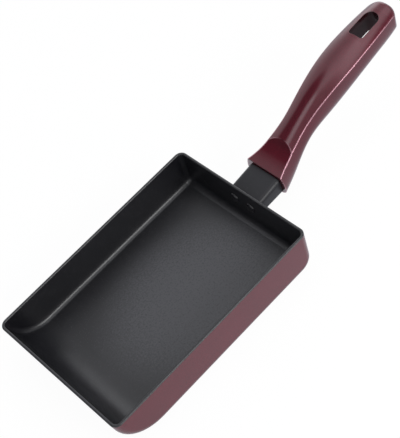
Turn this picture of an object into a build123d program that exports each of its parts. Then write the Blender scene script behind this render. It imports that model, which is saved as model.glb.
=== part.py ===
from build123d import *
from math import sqrt
import os

# A tamagoyaki pan: a rectangular tray with a swept-up front wall, and a moulded handle
# held by one long screw to a bracket that is riveted on the end wall.
# All lengths are in millimetres. The origin is the middle of the underside,
# +X points to the handle and +Z points up.

# Tray, measured over its coats
rim_length = 187.0
rim_width = 130.0
pan_height = 36.5
wall = 2.3
floor_thickness = 5.0
front_bend = 32.0
back_bend = 12.0
inner_back_bend = 5.0
corner_radius = 6.0
front_lean_share = 0.12
back_lean_share = 0.05
side_lean_share = 0.01

# Coats: the same thickness inside and outside, and a bare base that stands on the hob
coat = 0.3
rim_round = 0.9
bare_base_rise = 0.6

# Rivets, side by side on the end wall
rivet_height = 22.5
rivet_pitch = 16.4
rivet_shank = 4.2
rivet_head_width = 9.0
rivet_head_height = 1.7
rivet_head_edge = 0.3
rivet_tail_width = 5.6
rivet_tail_height = 1.4
rivet_clearance = 0.05

# Flame guard, a sleeve between the end wall and the handle's collar
guard_length = 23.8
guard_width = 30.2
guard_underside = 15.5
guard_underside_rise = 0.4
guard_wall_height = 13.0
guard_collar_height = 15.8
guard_corner = 4.0
guard_sheet = 1.2

# Handle: its heights are those of the crease that runs along each side of its top
handle_length = 145.8
handle_rise = 36.7
collar_height = 34.4
grip_width = 31.6
grip_depth = 21.3
side_bulge = 2.4
crown_height = 5.0
tail_width = 27.0
tail_corner = 10.5
tail_round = 3.2
scoop_depth = 0.3
nose_length = 3.0
nose_clearance = 0.35
# Along the handle, up its rise, and its width, depth, crown and side bulge at each station
station_shares = [
    (-0.060, -0.047, 1.222, 0.990, 0.41, 1.00),
    (0.000, 0.000, 1.063, 0.968, 0.41, 1.00),
    (0.067, 0.063, 0.873, 0.944, 0.41, 1.00),
    (0.143, 0.169, 0.747, 0.775, 0.41, 1.00),
    (0.246, 0.349, 0.658, 0.695, 0.41, 1.00),
    (0.377, 0.583, 0.734, 0.876, 0.52, 0.83),
    (0.597, 0.836, 0.912, 0.876, 0.80, 0.50),
    (0.804, 0.950, 0.862, 0.820, 0.92, 0.50),
    (0.983, 1.000, 0.709, 0.728, 0.85, 0.33),
    (1.060, 1.020, 0.616, 0.685, 0.79, 0.33),
]
side_swell_share = 0.70
underside_spread_share = 1.10
# Along the handle and up its rise, where the collar's scoop climbs out through the crown
scoop_shares = [(0.105, 0.102), (0.130, 0.151), (0.157, 0.248), (0.190, 0.382), (0.220, 0.509)]

# Hanging slot through the tail of the handle: a squared near end and a rounded far end
slot_length = 23.5
slot_width = 13.2
slot_from_tail = 12.0
slot_near_corner = 2.2
slot_far_corner = 6.0
slot_draft_degrees = 5.0

# Handle screw, from the slot's near wall to the nut in the collar
screw_width = 5.0
screw_clearance = 0.25
screw_past_nut = 2.0
screw_head_width = 8.6
screw_head_height = 3.2
screw_head_round = 1.2
recess_width = 4.6
recess_blade = 1.1
recess_depth = 1.8
head_bore_depth = 9.0
washer_width = 9.4
washer_thickness = 1.0
washer_clearance = 0.3
spring_washer_width = 8.4
spring_washer_thickness = 1.3
spring_washer_split = 0.8
tab_from_collar = 12.5
tab_screw_height = 29.5
slot_screw_height = 60.0

# Handle bracket, a riveted plate with a bent tongue, and the nut behind the tongue's end tab
bracket_sheet = 2.0
bracket_bend = 3.0
plate_width = 24.0
plate_underside = 17.5
plate_top = 26.5
tongue_width = 9.6
relief_slit = 0.6
tab_above_screw = 4.6
nut_flats = 8.0
nut_height = 4.0
nut_clearance = 0.05
nut_to_tongue = 1.6

# Pocket in the collar, round the end of the bracket
pocket_clearance = 0.9
pocket_past_tab = 1.5
mouth_floor = 18.9
mouth_roof = 28.9

# How far every cutting shape runs past what it cuts
overrun = 5.0

os.makedirs("parts", exist_ok=True)

half_length = rim_length / 2
half_width = rim_width / 2
collar_x = half_length + guard_length
tail_x = collar_x + handle_length
rim_start = pan_height - rim_round


def tray(inset, floor_level, top_level, end_bend):
    """The tray's shape drawn in by an inset, between two levels, with a bend at the handle's end."""

    def wall_x(end, lean_share, level):
        lean = lean_share * (pan_height - level)
        return end * (half_length - lean - inset * sqrt(1 + lean_share**2))

    def wall_y(level):
        lean = side_lean_share * (pan_height - level)
        return half_width - lean - inset * sqrt(1 + side_lean_share**2)

    with BuildPart() as block:
        with BuildSketch(Plane.XZ) as side_profile:
            with BuildLine():
                Polyline(
                    (wall_x(-1, front_lean_share, top_level), top_level),
                    (wall_x(-1, front_lean_share, floor_level), floor_level),
                    (wall_x(1, back_lean_share, floor_level), floor_level),
                    (wall_x(1, back_lean_share, top_level), top_level),
                    close=True,
                )
            make_face()
            fillet(side_profile.vertices().group_by(Axis.Y)[0].sort_by(Axis.X)[0], front_bend - inset)
            fillet(side_profile.vertices().group_by(Axis.Y)[0].sort_by(Axis.X)[-1], end_bend)
        extrude(amount=rim_width, both=True)
        with BuildSketch(Plane.YZ):
            with BuildLine():
                Polyline(
                    (-wall_y(top_level), top_level),
                    (-wall_y(floor_level), floor_level),
                    (wall_y(floor_level), floor_level),
                    (wall_y(top_level), top_level),
                    close=True,
                )
            make_face()
        extrude(amount=rim_length, both=True, mode=Mode.INTERSECT)
        rims = block.faces().sort_by(Axis.Z)[-1].edges()
        walls = block.faces().sort_by(Axis.Y)
        corners = (walls[0].edges() + walls[-1].edges()).filter_by(lambda edge: edge not in rims)
        fillet(corners, corner_radius - inset)
    return block.part


def slab(low_level, high_level):
    """A level slab wider than the tray, between two heights."""
    with BuildPart() as block:
        with BuildSketch(Plane.XY.offset(low_level)):
            Rectangle(rim_length + overrun, rim_width + overrun)
        extrude(amount=high_level - low_level)
    return block.part


def back_wall_x(level):
    """Where the end wall's outer face stands at a height."""
    return half_length - back_lean_share * (pan_height - level)


# The end wall's outer face: local X runs across the pan, local Y up the wall, local Z outwards
back_wall = Plane(
    origin=(back_wall_x(rivet_height), 0, rivet_height),
    x_dir=(0, 1, 0),
    z_dir=(1, 0, -back_lean_share),
)

# The rivet holes go through both coats, the wall and the bracket's plate
with BuildPart() as rivet_drill:
    with BuildSketch(back_wall.offset(-wall - overrun)):
        with GridLocations(rivet_pitch, rivet_pitch, 2, 1):
            Circle(rivet_shank / 2)
    extrude(amount=wall + bracket_sheet + 2 * overrun)

outer_shape = tray(0, 0, pan_height, back_bend)
inner_shape = tray(wall, floor_thickness, pan_height + overrun, inner_back_bend)
metal_shape = tray(coat, coat, pan_height - coat, back_bend - coat)
metal_inner = tray(wall - coat, floor_thickness - coat, pan_height + overrun, inner_back_bend + coat)
base_shape = outer_shape & slab(0, bare_base_rise)
band_shape = outer_shape & slab(bare_base_rise, rim_start)

# Aluminium tray before it is drilled: bare where it stands on the hob, coated elsewhere
with BuildPart() as metal_tray:
    add(metal_shape)
    add(base_shape)
    add(metal_inner, mode=Mode.SUBTRACT)
    fillet(metal_tray.faces().sort_by(Axis.Z)[-1].edges(), rim_round - coat)

# Maroon coat before it is drilled: from the bare base to the start of the rim's rounding
with BuildPart() as outer_coat:
    add(band_shape)
    add(metal_shape, mode=Mode.SUBTRACT)

# Non-stick coat before it is drilled: on the inside and over the rounded rim
with BuildPart() as inner_coat:
    add(outer_shape)
    add(inner_shape, mode=Mode.SUBTRACT)
    fillet(inner_coat.faces().sort_by(Axis.Z)[-1].edges(), rim_round)
    add(metal_tray.part, mode=Mode.SUBTRACT)
    add(outer_coat.part, mode=Mode.SUBTRACT)

with BuildPart() as pan_body:
    add(metal_tray.part)
    add(rivet_drill.part, mode=Mode.SUBTRACT)
pan_body.part.label = "pan_body"
export_step(pan_body.part, "parts/pan_body.step")

with BuildPart() as exterior_enamel:
    add(outer_coat.part)
    add(rivet_drill.part, mode=Mode.SUBTRACT)
exterior_enamel.part.label = "exterior_enamel"
export_step(exterior_enamel.part, "parts/exterior_enamel.step")

with BuildPart() as nonstick_lining:
    add(inner_coat.part)
    add(rivet_drill.part, mode=Mode.SUBTRACT)
nonstick_lining.part.label = "nonstick_lining"
export_step(nonstick_lining.part, "parts/nonstick_lining.step")

# Two rivets: a domed head inside the pan, a shank and a flat formed tail on the bracket's plate.
# Profile X runs outwards along the rivet and profile Y is its radius.
rivet_frame = Plane(
    origin=back_wall.from_local_coords((rivet_pitch / 2, 0, 0)),
    x_dir=back_wall.z_dir,
    z_dir=back_wall.z_dir.cross(back_wall.y_dir),
)
with BuildPart() as bracket_rivets:
    with BuildSketch(rivet_frame):
        with BuildLine():
            dome = TangentArc(
                (-wall - rivet_head_height, 0),
                (-wall - rivet_head_edge, rivet_head_width / 2),
                tangent=(0, 1),
            )
            Polyline(
                dome @ 1,
                (-wall, rivet_head_width / 2),
                (-wall, rivet_shank / 2 - rivet_clearance),
                (bracket_sheet, rivet_shank / 2 - rivet_clearance),
                (bracket_sheet, rivet_tail_width / 2),
                (bracket_sheet + rivet_tail_height, rivet_tail_width / 2 - rivet_head_edge),
                (bracket_sheet + rivet_tail_height, 0),
                dome @ 0,
            )
        make_face()
    revolve(axis=Axis(rivet_frame.origin, rivet_frame.x_dir))
    mirror(about=Plane.XZ)
bracket_rivets.part.label = "bracket_rivets"
export_step(bracket_rivets.part, "parts/bracket_rivets.step")


def sleeve(inset, start_x, end_x):
    """The flame guard's outer shape, drawn in by an inset, between two places along X."""
    with BuildPart() as block:
        for place in (start_x, end_x):
            along_share = (place - half_length) / guard_length
            low = guard_underside + guard_underside_rise * along_share
            height = guard_wall_height + (guard_collar_height - guard_wall_height) * along_share
            with BuildSketch(Plane.YZ.offset(place)):
                with Locations((0, low + height / 2)):
                    RectangleRounded(guard_width - 2 * inset, height - 2 * inset, guard_corner - inset)
        loft()
    return block.part


# Flame guard: a rounded box sleeve that stands on the end wall and opens towards the handle
guard_shape = sleeve(0, half_length - overrun, collar_x)
guard_hollow = sleeve(guard_sheet, half_length - 2 * overrun, collar_x + overrun)
with BuildPart() as flame_guard:
    add(guard_shape)
    add(guard_hollow, mode=Mode.SUBTRACT)
    split(bisect_by=back_wall, keep=Keep.TOP)
flame_guard.part.label = "flame_guard"
export_step(flame_guard.part, "parts/flame_guard.step")

# The handle's screw runs from the bracket's tab to the near wall of the hanging slot.
# On screw_plane local X runs across the handle, local Y up from the screw and local Z along it.
slot_near_x = tail_x - slot_from_tail - slot_length
tab_point = Vector(collar_x + tab_from_collar, 0, tab_screw_height)
slot_point = Vector(slot_near_x, 0, slot_screw_height)
screw_plane = Plane(origin=tab_point, x_dir=(0, 1, 0), z_dir=slot_point - tab_point)
bore_length = (slot_point - tab_point).length
seat_distance = bore_length - head_bore_depth

# Handle bracket: plate on the wall, tongue along the guard's floor and tab square to the screw
tab_below_screw = nut_flats / 2 + nut_to_tongue + bracket_sheet
tab_foot = screw_plane.from_local_coords((0, -tab_below_screw, 0))
tab_top = screw_plane.from_local_coords((0, tab_above_screw, 0))
with BuildPart() as handle_bracket:
    with BuildSketch(Plane.XZ):
        with BuildLine():
            Polyline(
                (back_wall_x(plate_underside), plate_underside),
                (back_wall_x(plate_top), plate_top),
                (back_wall_x(plate_top) + bracket_sheet, plate_top),
                (back_wall_x(plate_underside) + bracket_sheet, plate_underside),
                close=True,
            )
        make_face()
    extrude(amount=plate_width / 2, both=True)
    with BuildSketch(Plane.YZ.offset(half_length - overrun)):
        with Locations((0, plate_underside)):
            Rectangle(tongue_width + 2 * relief_slit, 2 * bracket_bend)
    extrude(amount=3 * overrun, mode=Mode.SUBTRACT)
    with BuildSketch(Plane.XZ):
        with BuildLine():
            FilletPolyline(
                (back_wall_x(plate_top), plate_top),
                (back_wall_x(plate_underside), plate_underside),
                (tab_foot.X, tab_foot.Z),
                (tab_top.X, tab_top.Z),
                radius=bracket_bend,
            )
            offset(amount=bracket_sheet, side=Side.LEFT)
        make_face()
    extrude(amount=tongue_width / 2, both=True)
    add(rivet_drill.part, mode=Mode.SUBTRACT)
    with BuildSketch(screw_plane.offset(-bracket_sheet - overrun)):
        Circle(screw_width / 2 + screw_clearance)
    extrude(amount=bracket_sheet + 2 * overrun, mode=Mode.SUBTRACT)
handle_bracket.part.label = "handle_bracket"
export_step(handle_bracket.part, "parts/handle_bracket.step")

with BuildPart() as bracket_nut:
    with BuildSketch(screw_plane.offset(-bracket_sheet - nut_height)):
        RegularPolygon(nut_flats / 2, 6, major_radius=False)
        Circle(screw_width / 2 + nut_clearance, mode=Mode.SUBTRACT)
    extrude(amount=nut_height)
bracket_nut.part.label = "bracket_nut"
export_step(bracket_nut.part, "parts/bracket_nut.step")

# The crease heights follow one smooth line, and every handle section stands square to it
crease_points = [
    (collar_x + along * handle_length, collar_height + rise * handle_rise)
    for along, rise, *_ in station_shares
]
with BuildLine(Plane.XZ) as crease:
    Spline(*crease_points)


def handle_section(number):
    """The handle's closed section at one station: crowned top, bulging sides, round underside."""
    along, rise, width_share, depth_share, crown_share, bulge_share = station_shares[number]
    side = grip_width * width_share / 2
    depth = grip_depth * depth_share
    crown = crown_height * crown_share
    place = Vector(collar_x + along * handle_length, 0, collar_height + rise * handle_rise)
    direction = crease.wire().tangent_at(place)
    section_plane = Plane(origin=place, x_dir=(0, 1, 0), z_dir=direction)
    with BuildSketch(section_plane) as section:
        with BuildLine():
            ThreePointArc((-side, 0), (0, crown), (side, 0))
            swell = (side + 2 * side_bulge * bulge_share, -side_swell_share * depth)
            spread = (side * underside_spread_share, -depth)
            Bezier((side, 0), swell, spread, (0, -depth))
            Bezier((0, -depth), (-spread[0], spread[1]), (-swell[0], swell[1]), (-side, 0))
        make_face()
    return section.sketch


# Handle: one moulding with a scooped collar, a rounded tail and a hanging slot. Inside it are a
# nose that enters the flame guard, a pocket round the bracket's tab and a bore for the screw.
handle_sections = [handle_section(number) for number in range(len(station_shares))]
scoop_points = [(x, z - scoop_depth) for x, z in crease_points[:3]] + [
    (collar_x + along * handle_length, collar_height + rise * handle_rise)
    for along, rise in scoop_shares
]
nose_x = collar_x - nose_length
nose_shape = sleeve(guard_sheet + nose_clearance, nose_x, collar_x)
pocket_foot = screw_plane.from_local_coords((0, -tab_below_screw - pocket_clearance, pocket_past_tab))
pocket_top = screw_plane.from_local_coords((0, tab_above_screw + pocket_clearance, pocket_past_tab))
slot_middle = crease.edge().intersect(Plane.YZ.offset(slot_near_x + slot_length / 2)).vertex()
slot_direction = crease.wire().tangent_at(Vector(slot_middle))
slot_plane = Plane(
    origin=Vector(slot_middle),
    x_dir=slot_direction,
    z_dir=slot_direction.cross(Vector(0, 1, 0)),
)
with BuildSketch() as handle_plan:
    with Locations((tail_x, 0)):
        Rectangle(2 * tail_corner, tail_width, align=(Align.MAX, Align.CENTER))
    fillet(handle_plan.vertices().group_by(Axis.X)[-1], tail_corner)
    with Locations((collar_x, 0)):
        Rectangle(handle_length - tail_corner, 2 * grip_width, align=(Align.MIN, Align.CENTER))

with BuildPart() as handle_grip:
    loft(handle_sections)
    with BuildSketch(Plane.XZ):
        with BuildLine():
            scoop = Spline(*scoop_points)
            Polyline(
                scoop @ 1,
                (scoop_points[-1][0], tail_x),
                (scoop_points[0][0] - overrun, tail_x),
                (scoop_points[0][0] - overrun, scoop_points[0][1]),
                scoop @ 0,
            )
        make_face()
    extrude(amount=grip_width, both=True, mode=Mode.SUBTRACT)
    split(bisect_by=Plane.YZ.offset(collar_x), keep=Keep.TOP)
    extrude(handle_plan.sketch, amount=tail_x, mode=Mode.INTERSECT)
    tail_walls = handle_grip.faces().filter_by(lambda face: face.center().X > tail_x - tail_corner)
    fillet(tail_walls.edges().filter_by(GeomType.LINE, reverse=True), tail_round)
    add(nose_shape)
    with BuildSketch(slot_plane) as slot:
        Rectangle(slot_length, slot_width)
        fillet(slot.vertices().group_by(Axis.X)[0], slot_near_corner)
        fillet(slot.vertices().group_by(Axis.X)[-1], slot_far_corner)
    extrude(slot.sketch, amount=crown_height + overrun, mode=Mode.SUBTRACT)
    extrude(slot.sketch, amount=-grip_depth - overrun, taper=-slot_draft_degrees, mode=Mode.SUBTRACT)
    with BuildSketch(Plane.XZ):
        with BuildLine():
            Polyline(
                (nose_x - overrun, mouth_floor),
                (collar_x, mouth_floor),
                (pocket_foot.X, pocket_foot.Z),
                (pocket_top.X, pocket_top.Z),
                (collar_x, mouth_roof),
                (nose_x - overrun, mouth_roof),
                close=True,
            )
        make_face()
    extrude(amount=tongue_width / 2 + pocket_clearance, both=True, mode=Mode.SUBTRACT)
    with BuildSketch(screw_plane):
        Circle(screw_width / 2 + screw_clearance)
    extrude(amount=bore_length + overrun, mode=Mode.SUBTRACT)
    with BuildSketch(screw_plane.offset(seat_distance)):
        Circle(washer_width / 2 + washer_clearance)
    extrude(amount=head_bore_depth + overrun, mode=Mode.SUBTRACT)
handle_grip.part.label = "handle_grip"
export_step(handle_grip.part, "parts/handle_grip.step")

# Washers on the seat at the bottom of the head bore
with BuildPart() as flat_washer:
    with BuildSketch(screw_plane.offset(seat_distance)):
        Circle(washer_width / 2)
        Circle(screw_width / 2 + screw_clearance, mode=Mode.SUBTRACT)
    extrude(amount=washer_thickness)
flat_washer.part.label = "flat_washer"
export_step(flat_washer.part, "parts/flat_washer.step")

with BuildPart() as spring_washer:
    with BuildSketch(screw_plane.offset(seat_distance + washer_thickness)):
        Circle(spring_washer_width / 2)
        Circle(screw_width / 2 + screw_clearance, mode=Mode.SUBTRACT)
        with Locations((0, spring_washer_width / 2)):
            Rectangle(spring_washer_split, spring_washer_width, mode=Mode.SUBTRACT)
    extrude(amount=spring_washer_thickness)
spring_washer.part.label = "spring_washer"
export_step(spring_washer.part, "parts/spring_washer.step")

# Handle screw: domed head with a cross recess, and a plain shank the size of its thread
head_distance = seat_distance + washer_thickness + spring_washer_thickness
tip_distance = -bracket_sheet - nut_height - screw_past_nut
with BuildPart() as handle_screw:
    with BuildSketch(screw_plane.offset(head_distance)):
        Circle(screw_head_width / 2)
    extrude(amount=screw_head_height)
    top = handle_screw.faces().sort_by(Axis(screw_plane.origin, screw_plane.z_dir))[-1]
    fillet(top.edges(), screw_head_round)
    with BuildSketch(screw_plane.offset(head_distance + screw_head_height)):
        Rectangle(recess_width, recess_blade)
        Rectangle(recess_blade, recess_width)
    extrude(amount=-recess_depth, mode=Mode.SUBTRACT)
    with BuildSketch(screw_plane.offset(tip_distance)):
        Circle(screw_width / 2)
    extrude(amount=head_distance - tip_distance)
handle_screw.part.label = "handle_screw"
export_step(handle_screw.part, "parts/handle_screw.step")
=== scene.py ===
# %% [markdown]
# # Dressing a tamagoyaki pan
#
# A tamagoyaki pan is the small rectangular pan for rolled omelettes. The real one is a pressed
# aluminium tray with two coats, black non-stick inside and maroon enamel outside. Two rivets hold
# a bracket and a flame guard on its end wall, and one long screw pulls a moulded handle on to them.
#
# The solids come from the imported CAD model. This lesson gives each of them its finish, grows the
# flame guard and the rivets anew with the small roundings that catch the light, and sets the
# studio round them.

import bpy
import math
from mathutils import Matrix, Vector


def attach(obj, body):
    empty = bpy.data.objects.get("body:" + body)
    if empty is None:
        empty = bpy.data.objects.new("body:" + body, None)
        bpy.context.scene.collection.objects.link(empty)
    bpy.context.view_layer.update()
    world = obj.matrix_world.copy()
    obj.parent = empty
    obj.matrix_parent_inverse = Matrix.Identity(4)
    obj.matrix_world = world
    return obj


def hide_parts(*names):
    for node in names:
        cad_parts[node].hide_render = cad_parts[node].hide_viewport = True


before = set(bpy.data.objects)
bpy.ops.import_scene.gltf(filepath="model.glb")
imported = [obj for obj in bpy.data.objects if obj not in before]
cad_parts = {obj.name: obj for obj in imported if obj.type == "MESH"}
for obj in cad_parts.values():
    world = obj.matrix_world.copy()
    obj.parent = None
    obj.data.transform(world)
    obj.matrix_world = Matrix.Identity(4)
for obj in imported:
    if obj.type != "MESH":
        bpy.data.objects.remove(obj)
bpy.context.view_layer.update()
MM = 0.001
print("CAD nodes:", sorted(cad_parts))

# %% [markdown]
# ## Node trees written as sums
#
# A finish is a small piece of arithmetic: so much speckle, times a mask, plus a little wear. Node
# by node that takes hundreds of lines. Here a socket is wrapped in a class that knows how to add
# and multiply, so that a finish reads like a formula, and one method makes every other node.

# %% A socket that can be reckoned with
class Wire:
    """An output socket of a node tree, with the operators that add Math nodes."""

    def __init__(self, bench, socket):
        self.bench = bench
        self.socket = socket

    def __add__(self, other):
        return self.bench.maths("ADD", self, other)

    def __sub__(self, other):
        return self.bench.maths("SUBTRACT", self, other)

    def __rsub__(self, other):
        return self.bench.maths("SUBTRACT", other, self)

    def __mul__(self, other):
        return self.bench.maths("MULTIPLY", self, other)

    def __truediv__(self, other):
        return self.bench.maths("DIVIDE", self, other)

    def __pow__(self, other):
        return self.bench.maths("POWER", self, other)

    __radd__ = __add__
    __rmul__ = __mul__


# %% A bench that makes nodes
MIX_COLOUR_A, MIX_COLOUR_B, MIX_COLOUR_OUT = 6, 7, 2


class Bench:
    """A node tree in work: makes nodes from a type, its settings and its inputs."""

    def __init__(self, tree):
        self.tree = tree
        tree.nodes.clear()

    def node(self, kind, settings=None, inputs=None, output=0):
        """Adds a node, with its settings first, and gives back one of its outputs."""
        made = self.tree.nodes.new(kind)
        for name, value in (settings or {}).items():
            if name == "stops":
                self.set_stops(made.color_ramp, value)
            else:
                setattr(made, name, value)
        for name, value in (inputs or {}).items():
            if isinstance(value, Wire):
                self.tree.links.new(value.socket, made.inputs[name])
            else:
                made.inputs[name].default_value = value
        return Wire(self, made.outputs[output]) if len(made.outputs) else None

    def set_stops(self, ramp, stops):
        """Puts greys on a colour ramp, each given as a place from 0 to 1 and a shade."""
        while len(ramp.elements) < len(stops):
            ramp.elements.new(1.0)
        for stop, (place, shade) in zip(ramp.elements, stops):
            stop.position = place
            stop.color = (shade, shade, shade, 1.0)

    def maths(self, operation, *values):
        return self.node("ShaderNodeMath", {"operation": operation}, dict(enumerate(values)))

    def limit(self, value):
        """Keeps a value between 0 and 1."""
        return self.node("ShaderNodeClamp", None, {"Value": value})

    def ease(self, value, start, end):
        """0 up to the start, 1 from the end on, with a soft slope between."""
        limits = {"Value": value, "From Min": start, "From Max": end}
        return self.node("ShaderNodeMapRange", {"interpolation_type": "SMOOTHSTEP"}, limits)

    def axes(self, vector):
        """The three numbers of a vector."""
        apart = self.node("ShaderNodeSeparateXYZ", None, {0: vector}).socket.node
        return [Wire(self, number) for number in apart.outputs]

    def dot(self, first, second):
        """The dot product: how far two directions agree."""
        settings = {"operation": "DOT_PRODUCT"}
        inputs = {0: first, 1: second}
        return self.node("ShaderNodeVectorMath", settings, inputs, output="Value")

    def blend(self, share, first, second):
        """Mixes two colours, given as wires or as three numbers."""
        first, second = (
            shade if isinstance(shade, Wire) else (*shade, 1.0) for shade in (first, second)
        )
        inputs = {"Factor": share, MIX_COLOUR_A: first, MIX_COLOUR_B: second}
        return self.node("ShaderNodeMix", {"data_type": "RGBA"}, inputs, output=MIX_COLOUR_OUT)


# %% [markdown]
# ## The patterns that finishes share
#
# Every finish on this pan is a coat or a bare metal with a texture of its own scale: a sprayed coat
# has orange peel about a millimetre wide, a drawn metal has streaks, and a used thing has hairline
# scratches and worn edges. Photographs of surfaces would need a flat unfolding of every piece. So
# the helpers below work each pattern out from Object coordinates, mostly as a value from 0 to 1.
# Those coordinates are metres here, so a pattern has its real size on every piece.

# %% Patterns in metres
UNSTRETCHED = (1, 1, 1)
# How much finer grain the lumps of a noise carry
SMOOTH, LUMPY, CLOUDY = 1.0, 2.0, 3.0


def surface_place(bench, stretch=UNSTRETCHED, turn=0.0):
    """The point on the surface, in metres, turned about Z and stretched for streaks."""
    place = bench.node("ShaderNodeTexCoord", output="Object")
    inputs = {"Vector": place, "Rotation": (0, 0, turn), "Scale": stretch}
    return bench.node("ShaderNodeMapping", {"vector_type": "POINT"}, inputs)


def grain(bench, size, detail, stretch=UNSTRETCHED, turn=0.0):
    """Soft noise with lumps of a given size."""
    place = surface_place(bench, stretch, turn)
    inputs = {"Vector": place, "Scale": 1 / size, "Detail": detail, "Roughness": 0.5}
    return bench.node("ShaderNodeTexNoise", None, inputs)


# %% Flecks
FLECK_HEART, FLECK_RIM = 0.15, 0.45


def specks(bench, size, share):
    """Small round flecks, 1 on a fleck. The share says how many of the cells have one."""
    inputs = {"Vector": surface_place(bench), "Scale": 1 / size}
    from_heart = bench.node("ShaderNodeTexVoronoi", None, inputs)
    cell_colour = Wire(bench, from_heart.socket.node.outputs["Color"])
    chance = bench.node("ShaderNodeSeparateColor", None, {"Color": cell_colour})
    chosen = bench.maths("LESS_THAN", chance, share)
    return chosen * (1 - bench.ease(from_heart, FLECK_HEART, FLECK_RIM))


# %% Scratches
SCRATCH_STRETCH = (0.02, 1, 1)
SCRATCH_SHARPNESS = 60
NOISE_MIDDLE = 0.5
SCRATCHED_PATCH = {"gaps wide": 12, "turn": 0.25, "starts at": 0.55, "steepness": 6}


def scratches(bench, gap, turn):
    """Hairline scratches that run one way, thin and broken, 1 in a scratch."""
    patch = SCRATCHED_PATCH
    lines = grain(bench, gap, SMOOTH, SCRATCH_STRETCH, turn)
    thin = bench.limit(1 - bench.maths("ABSOLUTE", lines - NOISE_MIDDLE) * SCRATCH_SHARPNESS)
    patches = grain(bench, gap * patch["gaps wide"], SMOOTH, turn=patch["turn"])
    return thin * bench.limit((patches - patch["starts at"]) * patch["steepness"])


# %% Worn edges and bumps
WEAR_STEEPNESS = 5
EDGE_SAMPLES = 6


def plain_normal(bench):
    """The surface's normal as it is modelled."""
    return bench.node("ShaderNodeNewGeometry", output="Normal")


def rounded_normal(bench, width, samples):
    """The surface's normal, as if its edges had a small radius."""
    return bench.node("ShaderNodeBevel", {"samples": samples}, {"Radius": width})


def edge_wear(bench, width):
    """0 on the flat, and more the nearer a spot is to an edge: there the two normals part."""
    agreement = bench.dot(rounded_normal(bench, width, EDGE_SAMPLES), plain_normal(bench))
    return bench.limit((1 - agreement) * WEAR_STEEPNESS)


def bumped(bench, height, depth, **normal):
    """A normal that follows a height from 0 to 1 with a real depth in metres."""
    inputs = {"Height": height, "Distance": depth, "Strength": 1.0, **normal}
    return bench.node("ShaderNodeBump", None, inputs)


# %% A material around the Principled shader
def finish(name, build, **constants):
    """Makes a material. build adds what varies, and the constants go on the shader's sockets."""
    material = bpy.data.materials.new(name)
    material.use_nodes = True
    bench = Bench(material.node_tree)
    inputs = dict(constants)
    inputs.update(build(bench))
    shader = bench.node("ShaderNodeBsdfPrincipled", None, inputs)
    bench.node("ShaderNodeOutputMaterial", None, {"Surface": shader})
    print("finish:", name, "with", len(bench.tree.nodes), "nodes")
    return material


# %% [markdown]
# ## Maroon resin: where it differs
#
# The handle is moulded from a phenolic resin that stands the heat of a hob, and lacquered in a deep
# maroon. Two places differ from the rest. No spray reaches the walls of the hanging slot, so those
# stay dull, and their colour is made nearly black as painted shade in the recess. Along the two
# long
# creases the colour is paler: partly lacquer that the hand rubs thin, partly a painted highlight
# where the rounded crease meets the lamp. A painted mask could say where that is, but it would have
# to be painted again for every change of shape. So the slot is found by its place, and a crease by
# its
# normal: rounded a little, it swings sideways there.

# %% The slot's walls
SLOT_ENDS = (225.0 * MM, 253.8 * MM)
SLOT_HALF_WIDTH = 9.0 * MM
STEEP_BELOW = 0.6


def slot_zone(bench):
    """1 in the hanging slot and on its rim, 0 on the rest of the handle."""
    along, across = bench.axes(surface_place(bench))[:2]
    past_near_end = bench.maths("GREATER_THAN", along, SLOT_ENDS[0])
    before_far_end = bench.maths("LESS_THAN", along, SLOT_ENDS[1])
    near_middle = bench.maths("LESS_THAN", bench.maths("ABSOLUTE", across), SLOT_HALF_WIDTH)
    return past_near_end * before_far_end * near_middle


def steep(bench):
    """1 where the surface stands nearly upright."""
    upward = bench.axes(plain_normal(bench))[2]
    return bench.maths("LESS_THAN", bench.maths("ABSOLUTE", upward), STEEP_BELOW)


# %% The pale creases: painted highlight and rubbed lacquer
CREASE_STEEPNESS = 3.4
CREASE_SAMPLES = 8


def crease_wear_and_highlight(bench, width):
    """1 on the creases between the crown and the flanks, 0 away from them."""
    rounded = rounded_normal(bench, width, CREASE_SAMPLES)
    swing = bench.axes(rounded)[1] - bench.axes(plain_normal(bench))[1]
    return bench.limit(bench.maths("ABSOLUTE", swing) * CREASE_STEEPNESS)


# %% [markdown]
# ## Maroon resin: its layers
#
# The lacquer is two layers: a dark red one full of fine metal flakes, which glows where it faces a
# lamp, and a clear glossy one that mirrors the room. A single glossy red would look right in the
# mirror but stay dead under a lamp. So the base is half metallic and fairly rough, with a faint
# cloud, pearl flecks and hairline scratches, and the shader's own coat makes the clear layer.

# %% Maroon resin
RESIN_SHADE = {
    "dark": (0.062, 0.0042, 0.0095),
    "light": (0.092, 0.0078, 0.0165),
    "pearl": (0.20, 0.028, 0.044),
    # painted highlight along the creases, also standing for lacquer rubbed thin there
    "painted_sheen": (0.66, 0.37, 0.43),
    # the slot's walls: unlacquered resin, darkened further as painted shade in the recess
    "slot": (0.022, 0.0045, 0.0065),
}
RESIN_SIZE = {
    "cloud": 14 * MM,
    "fleck": 0.35 * MM,
    "painted_sheen": 1.3 * MM,
    "crease": 1.2 * MM,
    "peel": 1.3 * MM,
    "wave": 6 * MM,
    "bump": 0.012 * MM,
}
RESIN_SHARE = {
    "flecks": 0.3,
    "pearl": 0.35,
    "painted_sheen": 0.7,
    "rubbed cloud": 0.4,
    "no coat": 0.85,
    "peel": 0.6,
    "wave": 0.8,
}
RESIN_ROUGH = {"plain": 0.30, "cloud": 0.08, "scratch": 0.1, "slot": 0.3}


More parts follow.
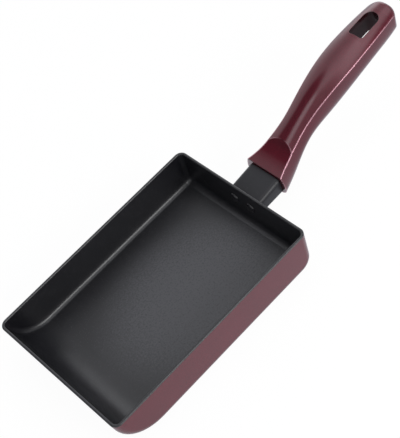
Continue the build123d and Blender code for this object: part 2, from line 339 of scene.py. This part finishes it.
def resin_layers(bench):
    shade, size, share, rough = RESIN_SHADE, RESIN_SIZE, RESIN_SHARE, RESIN_ROUGH
    slot = slot_zone(bench)
    # the slot's walls: no lacquer there, and a painted shade in the recess
    bare = slot * steep(bench)
    cloud = grain(bench, size["cloud"], CLOUDY)
    flecks = specks(bench, size["fleck"], share["flecks"])
    # the creases' mask, for the painted highlight and the rubbed lacquer
    worn = crease_wear_and_highlight(bench, size["painted_sheen"]) * (1 - slot)
    clouded = bench.blend(cloud, shade["dark"], shade["light"])
    pearled = bench.blend(flecks * share["pearl"], clouded, shade["pearl"])
    crease_sheen_share = worn * (share["painted_sheen"] + cloud * share["rubbed cloud"])
    # paints the pale crease highlight into the colour
    painted_sheen = bench.blend(crease_sheen_share, pearled, shade["painted_sheen"])
    lines = scratches(bench, gap=0.5 * MM, turn=0.3) + scratches(bench, gap=0.6 * MM, turn=1.2)
    peel = grain(bench, size["peel"], LUMPY) * share["peel"]
    skin = peel + grain(bench, size["wave"], SMOOTH) * share["wave"]
    rounded = rounded_normal(bench, size["crease"], CREASE_SAMPLES)
    roughness = rough["plain"] + cloud * rough["cloud"] + lines * rough["scratch"]
    return {
        "Base Color": bench.blend(bare, painted_sheen, shade["slot"]),
        "Roughness": roughness + bare * rough["slot"],
        "Coat Weight": 1 - bare * share["no coat"],
        "Normal": bumped(bench, skin, size["bump"], Normal=rounded),
    }


RESIN_GLOSS = {"Metallic": 0.5, "Specular IOR Level": 0.0, "Coat Roughness": 0.08}
maroon_resin = finish("maroon resin", resin_layers, **RESIN_GLOSS)

# %% [markdown]
# ## Maroon enamel on the outside of the tray
#
# The tray's outside is sprayed and fired. It has the handle's colour under a coat that is a little
# duller, so its reflections of the white table are soft. Sprayed enamel is never quite flat: its
# orange peel is about a millimetre wide. The colour is darker over the lowest few millimetres, in
# patches. The darkening could be painted on, but it only depends on the height, so a formula is
# enough.

# %% Maroon enamel
ENAMEL_SHADE = {
    "dark": (0.074, 0.0050, 0.0105),
    "light": (0.100, 0.0090, 0.0170),
    "pearl": (0.17, 0.034, 0.050),
    # darker colour over the lowest few millimetres
    "low_darkening": (0.035, 0.0070, 0.0090),
}
ENAMEL_SIZE = {
    "cloud": 22 * MM,
    "fleck": 0.4 * MM,
    "scorched height": 7 * MM,
    "scorched patch": 9 * MM,
    "peel": 0.9 * MM,
    "wave": 5 * MM,
    "bump": 0.020 * MM,
}
ENAMEL_SHARE = {"flecks": 0.25, "pearl": 0.3, "low_darkening": 0.35, "scorched evenly": 0.5}
ENAMEL_ROUGH = {"plain": 0.40, "cloud": 0.1, "scratch": 0.15}


def enamel_layers(bench):
    shade, size, share, rough = ENAMEL_SHADE, ENAMEL_SIZE, ENAMEL_SHARE, ENAMEL_ROUGH
    cloud = grain(bench, size["cloud"], CLOUDY)
    flecks = specks(bench, size["fleck"], share["flecks"])
    height = bench.axes(surface_place(bench))[2]
    low = bench.limit(1 - height / size["scorched height"])
    patches = grain(bench, size["scorched patch"], CLOUDY)
    low_darkening = low * (share["scorched evenly"] + patches)
    clouded = bench.blend(cloud, shade["dark"], shade["light"])
    pearled = bench.blend(flecks * share["pearl"], clouded, shade["pearl"])
    lines = scratches(bench, gap=0.5 * MM, turn=0.1)
    skin = grain(bench, size["peel"], LUMPY) + grain(bench, size["wave"], SMOOTH)
    return {
        "Base Color": bench.blend(low_darkening * share["low_darkening"], pearled, shade["low_darkening"]),
        "Roughness": rough["plain"] + cloud * rough["cloud"] + lines * rough["scratch"],
        "Normal": bumped(bench, skin, size["bump"]),
    }


ENAMEL_GLOSS = {
    "Metallic": 0.3,
    "Specular IOR Level": 0.0,
    "Coat Weight": 1.0,
    "Coat Roughness": 0.24,
}
maroon_enamel = finish("maroon enamel", enamel_layers, **ENAMEL_GLOSS)

# %% [markdown]
# ## Black non-stick coat
#
# The inside is a fluoropolymer coat, sprayed in two or three passes over a blasted surface. It is
# nearly black, satin, and finely pebbled, with mineral flecks, and the spatula leaves hairlines
# along the pan. The floor's reflection of the lamp is painted into the colour: a paler oval on the
# floor, fading outwards, and grainy.

# %% The painted reflection on the floor
SHEEN_MIDDLE = (18 * MM, -14 * MM)
SHEEN_REACH = (90 * MM, 70 * MM)
FLOOR_BELOW = 6 * MM
SHEEN_GRAIN = {"size": 1.3 * MM, "contrast": 2.6, "offset": 0.3}


def floor_sheen_pool(bench):
    """1 in the middle of the painted reflection, 0 outside it and on the walls."""
    along, across, level = bench.axes(surface_place(bench))
    off_along = (along - SHEEN_MIDDLE[0]) / SHEEN_REACH[0]
    off_across = (across - SHEEN_MIDDLE[1]) / SHEEN_REACH[1]
    fading = 1 - bench.ease(off_along ** 2 + off_across ** 2, 0.0, 1.0)
    on_floor = bench.maths("LESS_THAN", level, FLOOR_BELOW)
    sheen_grain = grain(bench, SHEEN_GRAIN["size"], LUMPY) * SHEEN_GRAIN["contrast"]
    return bench.limit(fading * on_floor * (sheen_grain - SHEEN_GRAIN["offset"]))


# %% Black non-stick coat
COAT_SHADE = {
    "dark": (0.0030, 0.0030, 0.0045),
    "light": (0.0055, 0.0055, 0.0075),
    # painted reflection of the lamp on the floor
    "painted_sheen": (0.0385, 0.039, 0.044),
    "fleck": (0.060, 0.060, 0.065),
    "scratch": (0.070, 0.070, 0.072),
    "worn rim": (0.105, 0.103, 0.103),
}
COAT_SIZE = {
    "cloud": 30 * MM,
    "fleck": 0.7 * MM,
    "worn rim": 0.6 * MM,
    "pebble": 0.55 * MM,
    "wave": 8 * MM,
    "bump": 0.035 * MM,
}
COAT_SHARE = {"flecks": 0.12, "fleck": 0.5, "scratch": 0.25, "worn rim": 0.8}
COAT_ROUGH = {"plain": 0.33, "cloud": 0.08, "scratch": 0.1}


def nonstick_layers(bench):
    shade, size, share, rough = COAT_SHADE, COAT_SIZE, COAT_SHARE, COAT_ROUGH
    cloud = grain(bench, size["cloud"], CLOUDY)
    flecks = specks(bench, size["fleck"], share["flecks"])
    worn = edge_wear(bench, size["worn rim"])
    lines = scratches(bench, gap=0.7 * MM, turn=0.05) + scratches(bench, gap=0.8 * MM, turn=0.25)
    lines = bench.limit(lines)
    clouded = bench.blend(cloud, shade["dark"], shade["light"])
    # paints the lamp's reflection on the floor into the colour as a paler oval
    painted_sheen = bench.blend(floor_sheen_pool(bench), clouded, shade["painted_sheen"])
    flecked = bench.blend(flecks * share["fleck"], painted_sheen, shade["fleck"])
    marked = bench.blend(lines * share["scratch"], flecked, shade["scratch"])
    skin = grain(bench, size["pebble"], CLOUDY) + grain(bench, size["wave"], SMOOTH)
    return {
        "Base Color": bench.blend(worn * share["worn rim"], marked, shade["worn rim"]),
        "Roughness": rough["plain"] + cloud * rough["cloud"] - lines * rough["scratch"],
        "Normal": bumped(bench, skin, size["bump"]),
    }


black_nonstick = finish("black non-stick", nonstick_layers, IOR=1.55)

# %% [markdown]
# ## The metals
#
# The base that stands on the hob is bare aluminium, turned flat, with fine streaks and a few dark
# heat marks. The screw, its washers, the nut and the bracket are zinc-plated steel, cooler and
# cloudier. Both could share one grey metal, but side by side on the real pan they never match, so
# each has its own colours and its own grain.

# %% Bare aluminium
ALUMINIUM_SHADE = {
    "dark": (0.52, 0.52, 0.53),
    "light": (0.70, 0.70, 0.71),
    "heat mark": (0.30, 0.26, 0.22),
}
ALUMINIUM_STREAK = {"size": 0.6 * MM, "stretch": (0.04, 1, 1), "bump": 0.02 * MM}
SCRATCH_DEPTH = 0.5
HEAT_MARK = {"size": 16 * MM, "starts at": 0.55, "steepness": 5, "share": 0.35}
ALUMINIUM_ROUGH = {"plain": 0.28, "streak": 0.16, "heat mark": 0.1}


def aluminium_layers(bench):
    shade, streak, rough = ALUMINIUM_SHADE, ALUMINIUM_STREAK, ALUMINIUM_ROUGH
    streaks = grain(bench, streak["size"], CLOUDY, streak["stretch"])
    cloud = grain(bench, HEAT_MARK["size"], CLOUDY)
    heat = bench.limit((cloud - HEAT_MARK["starts at"]) * HEAT_MARK["steepness"])
    lines = scratches(bench, gap=0.6 * MM, turn=0.6) + scratches(bench, gap=0.9 * MM, turn=2.1)
    bright = bench.blend(streaks, shade["dark"], shade["light"])
    return {
        "Base Color": bench.blend(heat * HEAT_MARK["share"], bright, shade["heat mark"]),
        "Roughness": rough["plain"] + streaks * rough["streak"] + heat * rough["heat mark"],
        "Normal": bumped(bench, streaks - lines * SCRATCH_DEPTH, streak["bump"]),
    }


bare_aluminium = finish("bare aluminium", aluminium_layers, Metallic=1.0)

# %% Plated steel
ZINC_SHADE = {
    "dark": (0.42, 0.43, 0.45),
    "light": (0.60, 0.61, 0.62),
    "dull": (0.33, 0.33, 0.32),
    "worn": (0.74, 0.74, 0.74),
}
ZINC_SIZE = {"spangle": 1.8 * MM, "dull patch": 7 * MM, "worn": 0.4 * MM, "bump": 0.01 * MM}
ZINC_SHARE = {"dull": 0.4, "worn": 0.5}
DULL_PATCH = {"starts at": 0.5, "steepness": 3}
ZINC_ROUGH = {"plain": 0.26, "dull": 0.2}


def plating_layers(bench):
    shade, size, share = ZINC_SHADE, ZINC_SIZE, ZINC_SHARE
    spangle = grain(bench, size["spangle"], LUMPY)
    dull = grain(bench, size["dull patch"], CLOUDY)
    worn = edge_wear(bench, size["worn"])
    zinc = bench.blend(spangle, shade["dark"], shade["light"])
    patches = bench.limit((dull - DULL_PATCH["starts at"]) * DULL_PATCH["steepness"])
    dulled = bench.blend(patches * share["dull"], zinc, shade["dull"])
    return {
        "Base Color": bench.blend(worn * share["worn"], dulled, shade["worn"]),
        "Roughness": ZINC_ROUGH["plain"] + dull * ZINC_ROUGH["dull"],
        "Normal": bumped(bench, spangle, size["bump"]),
    }


plated_steel = finish("plated steel", plating_layers, Metallic=1.0)

# %% [markdown]
# ## The guard's spray and the coat on the rivets
#
# The flame guard is steel sprayed dark grey, satin, and a little paler where its edges are handled.
# The rivets wear the same kind of coat as the inside of the tray, but their domes are pressed
# smooth, so they mirror the room in small sharp glints. Both stay plain non-metals: a metallic
# shader would turn the thin grey spray into dark chrome.

# %% Dark sprayed steel
SPRAY_SHADE = {
    "dark": (0.007, 0.007, 0.009),
    "light": (0.012, 0.012, 0.0145),
    "scratch": (0.06, 0.06, 0.06),
    "worn": (0.08, 0.08, 0.08),
}
SPRAY_SIZE = {"cloud": 9 * MM, "worn": 0.7 * MM, "peel": 0.6 * MM, "bump": 0.03 * MM}
SPRAY_SHARE = {"scratch": 0.3, "worn": 0.3}
SPRAY_ROUGH = {"plain": 0.36, "cloud": 0.1}


def guard_layers(bench):
    shade, size, share = SPRAY_SHADE, SPRAY_SIZE, SPRAY_SHARE
    cloud = grain(bench, size["cloud"], CLOUDY)
    worn = edge_wear(bench, size["worn"])
    lines = scratches(bench, gap=0.5 * MM, turn=1.5)
    grey = bench.blend(cloud, shade["dark"], shade["light"])
    marked = bench.blend(lines * share["scratch"], grey, shade["scratch"])
    return {
        "Base Color": bench.blend(worn * share["worn"], marked, shade["worn"]),
        "Roughness": SPRAY_ROUGH["plain"] + cloud * SPRAY_ROUGH["cloud"],
        "Normal": bumped(bench, grain(bench, size["peel"], CLOUDY), size["bump"]),
    }


guard_metal = finish("dark sprayed steel", guard_layers, **{"Specular IOR Level": 0.31})

# %% Coated rivets
RIVET_SHADE = {
    "dark": (0.0050, 0.0050, 0.0060),
    "light": (0.0095, 0.0095, 0.0110),
    "scratch": (0.12, 0.12, 0.12),
}
RIVET_SIZE = {"cloud": 2.5 * MM, "peel": 0.5 * MM, "bump": 0.025 * MM}
RIVET_SCRATCH_SHARE = 0.4
RIVET_ROUGH = {"plain": 0.20, "cloud": 0.10}


def rivet_layers(bench):
    shade, size = RIVET_SHADE, RIVET_SIZE
    cloud = grain(bench, size["cloud"], CLOUDY)
    lines = scratches(bench, gap=0.4 * MM, turn=0.2)
    black = bench.blend(cloud, shade["dark"], shade["light"])
    return {
        "Base Color": bench.blend(lines * RIVET_SCRATCH_SHARE, black, shade["scratch"]),
        "Roughness": RIVET_ROUGH["plain"] + cloud * RIVET_ROUGH["cloud"],
        "Normal": bumped(bench, grain(bench, size["peel"], CLOUDY), size["bump"]),
    }


coated_rivet = finish("coated rivet", rivet_layers, Metallic=0.0)

# %% Give the CAD nodes their finishes
finishes = {
    "pan_body": bare_aluminium,
    "nonstick_lining": black_nonstick,
    "exterior_enamel": maroon_enamel,
    "bracket_rivets": coated_rivet,
    "handle_bracket": plated_steel,
    "bracket_nut": plated_steel,
    "flame_guard": guard_metal,
    "handle_grip": maroon_resin,
    "flat_washer": plated_steel,
    "spring_washer": plated_steel,
    "handle_screw": plated_steel,
}
for node_name, material in finishes.items():
    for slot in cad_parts[node_name].material_slots:
        slot.material = material
print("finished nodes:", len(finishes))

# %% [markdown]
# ## Pieces grown from rules
#
# Two pieces of the pan follow a simple rule, so Geometry Nodes can grow them. The flame guard is
# one sheet section swept round a rounded rectangle, which gets taller towards the handle. The
# rivets are one rivet, repeated. A grown tree has a named number for each size, so that the sizes
# are read here in one place and another pan needs only other numbers. The result is kept as a
# plain mesh, because a tree that still runs could give another shape in another program.

# %% Growing a piece from a tree
SHARP_FROM = math.radians(40)


def growing_tree(name, sizes):
    """Starts a Geometry Nodes tree with one named number for each size."""
    tree = bpy.data.node_groups.new(name, "GeometryNodeTree")
    bench = Bench(tree)
    tree.interface.new_socket(name="Piece", in_out="OUTPUT", socket_type="NodeSocketGeometry")
    for label in sizes:
        tree.interface.new_socket(name=label, in_out="INPUT", socket_type="NodeSocketFloat")
    start = bench.node("NodeGroupInput").socket.node
    return bench, {label: Wire(bench, start.outputs[label]) for label in sizes}


def grow(bench, shape, name, sizes, material):
    """Ends the tree, runs it with its sizes and keeps the result as a plain mesh."""
    whole = bench.node("GeometryNodeRealizeInstances", None, {"Geometry": shape})
    dressed = {"Geometry": whole, "Material": material}
    painted = bench.node("GeometryNodeSetMaterial", None, dressed)
    bench.node("NodeGroupOutput", None, {"Piece": painted})
    seed = bpy.data.objects.new(name, bpy.data.meshes.new(name))
    bpy.context.collection.objects.link(seed)
    modifier = seed.modifiers.new("grow", "NODES")
    modifier.node_group = bench.tree
    for item in bench.tree.interface.items_tree:
        if item.in_out == "INPUT":
            modifier[item.identifier] = sizes[item.name]
    graph = bpy.context.evaluated_depsgraph_get()
    mesh = bpy.data.meshes.new_from_object(seed.evaluated_get(graph), depsgraph=graph)
    seed.modifiers.remove(modifier)
    seed.data = mesh
    mesh.shade_smooth()
    mesh.set_sharp_from_angle(angle=SHARP_FROM)
    print(name, "grew", len(mesh.polygons), "faces")
    return seed


# %% [markdown]
# ## The flame guard
#
# The guard is a pressed steel sleeve that keeps the flame away from the handle's collar. It stands
# on the leaning end wall and widens in height towards the handle. A box with bevelled edges would
# look much the same, but its sheet would have no rolled lip where it meets the collar. Sweeping
# the sheet's own section gives the lip, the inside and the outside at once. The sweep is made
# straight and upright first, and then every point is moved to its place between wall and collar.

# %% The sizes of the flame guard
guard_sizes = {
    "Width": 30.2 * MM,
    "Wall height": 13.0 * MM,
    "Collar height": 15.8 * MM,
    "Corner": 4.0 * MM,
    "Sheet": 1.2 * MM,
    "Length": 23.8 * MM,
    "Wall foot": 91.675 * MM,
    "Collar place": 117.3 * MM,
    "Wall lean": 0.05,
    "Underside": 15.5 * MM,
    "Rise": 0.4 * MM,
}
CORNER_STEPS = 10
LIP_STEPS = 4
LIP_SHARE = 0.42
print("guard sizes:", len(guard_sizes))
bench, size = growing_tree("sleeve", guard_sizes)
middle_height = (size["Wall height"] + size["Collar height"]) * 0.5


# %% The sheet's section, swept round the guard
def rounded_rectangle(width, height, radius, steps):
    """A closed curve round a rectangle with rounded corners."""
    inputs = {"Width": width, "Height": height}
    square = bench.node("GeometryNodeCurvePrimitiveQuadrilateral", None, inputs)
    inputs = {"Curve": square, "Radius": radius, "Count": steps}
    return bench.node("GeometryNodeFilletCurve", {"mode": "POLY"}, inputs)


loop = rounded_rectangle(
    size["Width"] - size["Sheet"],
    middle_height - size["Sheet"],
    size["Corner"] - size["Sheet"] * 0.5,
    CORNER_STEPS,
)
upright = bench.node("GeometryNodeSetCurveNormal", {"mode": "Z_UP"}, {"Curve": loop})
section = rounded_rectangle(size["Sheet"], size["Length"], size["Sheet"] * LIP_SHARE, LIP_STEPS)
swept = bench.node("GeometryNodeCurveToMesh", None, {"Curve": upright, "Profile Curve": section})

# %% Every point to its place between wall and collar
across, up, along = bench.axes(bench.node("GeometryNodeInputPosition"))
share = along / size["Length"] + 0.5
height_there = size["Wall height"] + (size["Collar height"] - size["Wall height"]) * share
lowest_there = size["Underside"] + size["Rise"] * share
level = lowest_there + height_there * (up / middle_height + 0.5)
wall_face = size["Wall foot"] + size["Wall lean"] * level
reach = wall_face + share * (size["Collar place"] - wall_face)
place = bench.node("ShaderNodeCombineXYZ", None, {0: reach, 1: across, 2: level})
placed = bench.node("GeometryNodeSetPosition", None, {"Geometry": swept, "Position": place})
flame_guard = grow(bench, placed, "sleeve_of_guard", guard_sizes, guard_metal)
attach(flame_guard, "root")
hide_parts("flame_guard")

# %% [markdown]
# ## The rivets
#
# The heads show inside the tray: low domes with soft rims, pressed by the rivet gun. Behind the
# wall each rivet has a flat tail on the bracket. A rivet could be turned from one outline, but its
# parts have sizes of their own, so one rivet is built from a dome, a shank and a tail, and two
# points a pitch apart on the wall take a copy each, turned to stand square to it.

# %% The sizes of the rivets
rivet_sizes = {
    "Pitch": 16.4 * MM,
    "Head width": 9.0 * MM,
    "Head height": 1.7 * MM,
    "Shank width": 4.1 * MM,
    "Tail width": 5.6 * MM,
    "Tail height": 1.4 * MM,
    "Wall": 2.3 * MM,
    "Plate": 2.0 * MM,
    "Out": 92.8 * MM,
    "Up": 22.5 * MM,
}
DOME_GRID = {"Size X": 1.0, "Size Y": 1.0, "Vertices X": 49, "Vertices Y": 13}
ROUND_STEPS = 48
JOIN_WITHIN = 0.001 * MM
SEAT_THICKNESS = 0.02 * MM
TAIL_TAPER = 0.3 * MM
print("rivet sizes:", len(rivet_sizes))
bench, size = growing_tree("rivet row", rivet_sizes)

# %% The dome: a flat grid wrapped round the rivet's axis
sheet = bench.node("GeometryNodeMeshGrid", None, DOME_GRID)
round_share, down_share = (
    number + 0.5 for number in bench.axes(bench.node("GeometryNodeInputPosition"))[:2]
)
turn = round_share * (2 * math.pi)
slope = down_share * (math.pi / 2)
radius = bench.maths("SINE", slope) * size["Head width"] * 0.5
dome_spot = {
    0: radius * bench.maths("COSINE", turn),
    1: radius * bench.maths("SINE", turn),
    2: 0 - size["Wall"] - size["Head height"] * bench.maths("COSINE", slope),
}
dome_place = bench.node("ShaderNodeCombineXYZ", None, dome_spot)
wrapped = {"Geometry": sheet, "Position": dome_place}
dome = bench.node("GeometryNodeSetPosition", None, wrapped)
closed = {"Geometry": dome, "Distance": JOIN_WITHIN}
dome = bench.node("GeometryNodeMergeByDistance", None, closed)


# %% The seat, the shank and the tail
def turned_piece(low, high, low_radius, high_radius):
    """A round piece of the rivet between two places along it."""
    inputs = {
        "Vertices": ROUND_STEPS,
        "Radius Bottom": low_radius,
        "Radius Top": high_radius,
        "Depth": high - low,
    }
    piece = bench.node("GeometryNodeMeshCone", None, inputs)
    offset = bench.node("ShaderNodeCombineXYZ", None, {2: low})
    moved = {"Geometry": piece, "Translation": offset}
    return bench.node("GeometryNodeTransform", None, moved)


inner_face = 0 - size["Wall"]
head_radius = size["Head width"] * 0.5
shank_radius = size["Shank width"] * 0.5
tail_radius = size["Tail width"] * 0.5
tail_end = size["Plate"] + size["Tail height"]
seat = turned_piece(inner_face - SEAT_THICKNESS, inner_face, head_radius, head_radius)
shank = turned_piece(inner_face, size["Plate"], shank_radius, shank_radius)
tail = turned_piece(size["Plate"], tail_end, tail_radius, tail_radius - TAIL_TAPER)
one_rivet = bench.node("GeometryNodeJoinGeometry").socket.node
for part in (dome, seat, shank, tail):
    bench.tree.links.new(part.socket, one_rivet.inputs[0])

# %% Two rivets, a pitch apart and square to the wall
first = {0: size["Out"], 1: 0 - size["Pitch"] * 0.5, 2: size["Up"]}
row = {
    "Count": 2,
    "Start Location": bench.node("ShaderNodeCombineXYZ", None, first),
    "Offset": bench.node("ShaderNodeCombineXYZ", None, {1: size["Pitch"]}),
}
copies = {
    "Points": bench.node("GeometryNodeMeshLine", None, row),
    "Instance": Wire(bench, one_rivet.outputs[0]),
    "Rotation": (0, math.pi / 2 + math.atan(guard_sizes["Wall lean"]), 0),
}
rivets = bench.node("GeometryNodeInstanceOnPoints", None, copies)
rivet_pair = grow(bench, rivets, "rivet_pair", rivet_sizes, coated_rivet)
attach(rivet_pair, "root")
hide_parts("bracket_rivets")

# %% [markdown]
# ## The room
#
# The photograph is a shop picture: a white table that runs on into a white room, and one large soft
# lamp in front of the tray. A glossy handle shows the whole room, so the room is drawn as carefully
# as the pan. A picture of a real room could light it, but a few soft round patches are easier to
# place. Four take light away: a doorway, a cupboard and two dim sides. Three add light: a window
# low down and two small lights above. Each comes from the dot product of the ray and the patch's
# own direction. The camera itself sees plain white.

# %% Directions and patches in the room
world = bpy.data.worlds.new("studio room")
bpy.context.scene.world = world
world.use_nodes = True
room = Bench(world.node_tree)
direction = room.node("ShaderNodeTexCoord", output="Generated")
height_above = room.axes(direction)[2]


def towards(azimuth, elevation):
    """A direction from the pan, from its angle round the table and its angle above it."""
    turn, climb = math.radians(azimuth), math.radians(elevation)
    level = math.cos(climb)
    return Vector((level * math.cos(turn), level * math.sin(turn), math.sin(climb)))


def patch(azimuth, elevation, inner, outer):
    """A round part of the room with a soft edge, 1 inside the inner angle, 0 past the outer one."""
    agreement = room.dot(direction, towards(azimuth, elevation))
    rim, heart = math.cos(math.radians(outer)), math.cos(math.radians(inner))
    return room.ease(agreement, rim, heart)


# %% The light of the room
BRIGHTEST = 1.6
ROOM_STOPS = [(0.0, 0.80), (0.34, 0.74), (0.64, 0.55), (0.77, 0.56), (0.87, 0.70), (0.97, 1.0)]
# Azimuth, elevation, inner and outer angle in degrees, then the share of the light taken away
DARK_PATCHES = {
    "doorway": (119, 50, 9, 19, 0.9),
    "cupboard": (146, 24, 14, 28, 0.9),
    "dim end": (-160, 62, 12, 28, 0.55),
    "camera side": (-42, 32, 16, 32, 0.7),
}
# The same four angles, then the light added
BRIGHT_PATCHES = {
    "window": (48, 16, 6, 24, 1.3),
    "shelf light": (146, 61, 2, 10, 1.3),
    "ceiling light": (-12, 70, 8, 26, 0.5),
}
ramp = room.node("ShaderNodeValToRGB", {"stops": ROOM_STOPS}, {"Fac": height_above})
room_light = ramp * BRIGHTEST
for *angles, taken in DARK_PATCHES.values():
    room_light = room_light * (1 - patch(*angles) * taken)
for *angles, added in BRIGHT_PATCHES.values():
    room_light = room_light + patch(*angles) * added
print("patches in the room:", len(DARK_PATCHES) + len(BRIGHT_PATCHES))

# %% White for the camera
WHITE = (1, 1, 1)
ROOM_TINT = (0.955, 0.965, 1.0)
seen = room.node("ShaderNodeLightPath", output="Is Camera Ray")
strength = seen + (1 - seen) * room_light
tint = room.blend(seen, ROOM_TINT, WHITE)
backdrop = room.node("ShaderNodeBackground", None, {"Color": tint, "Strength": strength})
room.node("ShaderNodeOutputWorld", None, {"Surface": backdrop})
print("room:", len(room.tree.nodes), "nodes")

# %% [markdown]
# ## The table
#
# A white table under a soft lamp photographs a little grey, while the photograph's is pure white.
# More light would bleach the pan as well. So the table shines on its own, but only for the camera
# and for mirrors: it looks white and still keeps some of the pan's soft shadow. What the mirrors
# see of it is dimmer and bluer towards the far corner of the tray, as in the photograph.

# %% The table
TABLE_SIZE = 6.0
TABLE_PAINT = (0.86, 0.86, 0.86, 1)
TABLE_GLOW = 0.955
MIRRORED_GLOW = 1.0
LAMP_SIDE_SHADE = (0.90, 0.93, 1.0)
FAR_CORNER_SHADE = (0.62, 0.62, 0.66)
FAR_TO_NEAR = (-0.22, 0.16)
bpy.ops.mesh.primitive_plane_add(size=TABLE_SIZE)
table = bpy.context.object
table.name = "table"
table_finish = bpy.data.materials.new("white table")
table_finish.use_nodes = True
bench = Bench(table_finish.node_tree)

# %% Its paint and its glow
to_camera, to_mirror, through_glass = (
    bench.node("ShaderNodeLightPath", output=kind)
    for kind in ("Is Camera Ray", "Is Glossy Ray", "Is Transmission Ray")
)
shining = to_camera * TABLE_GLOW + (to_mirror + through_glass) * MIRRORED_GLOW
along = bench.axes(surface_place(bench))[0]
limits = {"Value": along, "From Min": FAR_TO_NEAR[0], "From Max": FAR_TO_NEAR[1]}
nearer_lamp = bench.node("ShaderNodeMapRange", None, limits)
mirrored_colour = bench.blend(nearer_lamp, FAR_CORNER_SHADE, LAMP_SIDE_SHADE)
glow_colour = bench.blend(to_camera, mirrored_colour, WHITE)
paint = bench.node("ShaderNodeBsdfDiffuse", None, {"Color": TABLE_PAINT})
glow = bench.node("ShaderNodeEmission", None, {"Color": glow_colour, "Strength": 1.0})
layers = {0: bench.limit(shining), 1: paint, 2: glow}
mixed = bench.node("ShaderNodeMixShader", None, layers)
bench.node("ShaderNodeOutputMaterial", None, {"Surface": mixed})
table.data.materials.append(table_finish)
print("table:", TABLE_SIZE, "m wide")

# %% [markdown]
# ## The lamp
#
# The photograph's shadows are faint and its highlights broad, so one large soft box is enough. It
# stands in front of the tray's long side. Its strength is given as radiance, so that a larger box
# gives more light and still looks as bright in a mirror.

# %% The lamp
LIT_SPOT = Vector((0.06, 0, 0.03))


def soft_box(name, width, height, radiance, distance, azimuth, elevation):
    """A lamp that faces the pan, placed by its direction from it."""
    lamp = bpy.data.lights.new(name, "AREA")
    lamp.shape = "RECTANGLE"
    lamp.size = width
    lamp.size_y = height
    lamp.energy = radiance * math.pi * width * height
    holder = bpy.data.objects.new(name, lamp)
    bpy.context.collection.objects.link(holder)
    aside = towards(azimuth, elevation)
    holder.location = aside * distance + LIT_SPOT
    holder.rotation_euler = aside.to_track_quat("Z", "Y").to_euler()
    print(name, "gives", round(lamp.energy, 1), "W")


soft_box(
    "front lamp", width=1.0, height=0.6, radiance=8.0, distance=1.6, azimuth=-76, elevation=32
)

# %% [markdown]
# ## The camera
#
# The picture was taken from above the near side of the tray, with the camera rolled so that the
# handle points to the upper right. Its place, its aim and its roll were worked out from the corners
# of the rim and the outline of the handle.

# %% The camera
CAMERA_PLACE = Vector((-0.15393, -0.45434, 0.68019))
CAMERA_AIM = Vector((0.05988, 0.01247, 0.0285))
CAMERA_ROLL = math.radians(-25.04)
SENSOR_WIDTH = 36.0
FOCAL_LENGTH = 94.41
eye = bpy.data.cameras.new("camera")
eye.sensor_width = SENSOR_WIDTH
eye.lens = FOCAL_LENGTH
camera = bpy.data.objects.new("camera", eye)
bpy.context.collection.objects.link(camera)
ahead = (CAMERA_AIM - CAMERA_PLACE).to_track_quat("-Z", "Y").to_matrix()
rolled = ahead @ Matrix.Rotation(CAMERA_ROLL, 3, "Z")
camera.matrix_world = Matrix.Translation(CAMERA_PLACE) @ rolled.to_4x4()
bpy.context.scene.camera = camera
bpy.context.scene.view_settings.view_transform = "Standard"
print("camera to pan:", round((CAMERA_AIM - CAMERA_PLACE).length, 3), "m")
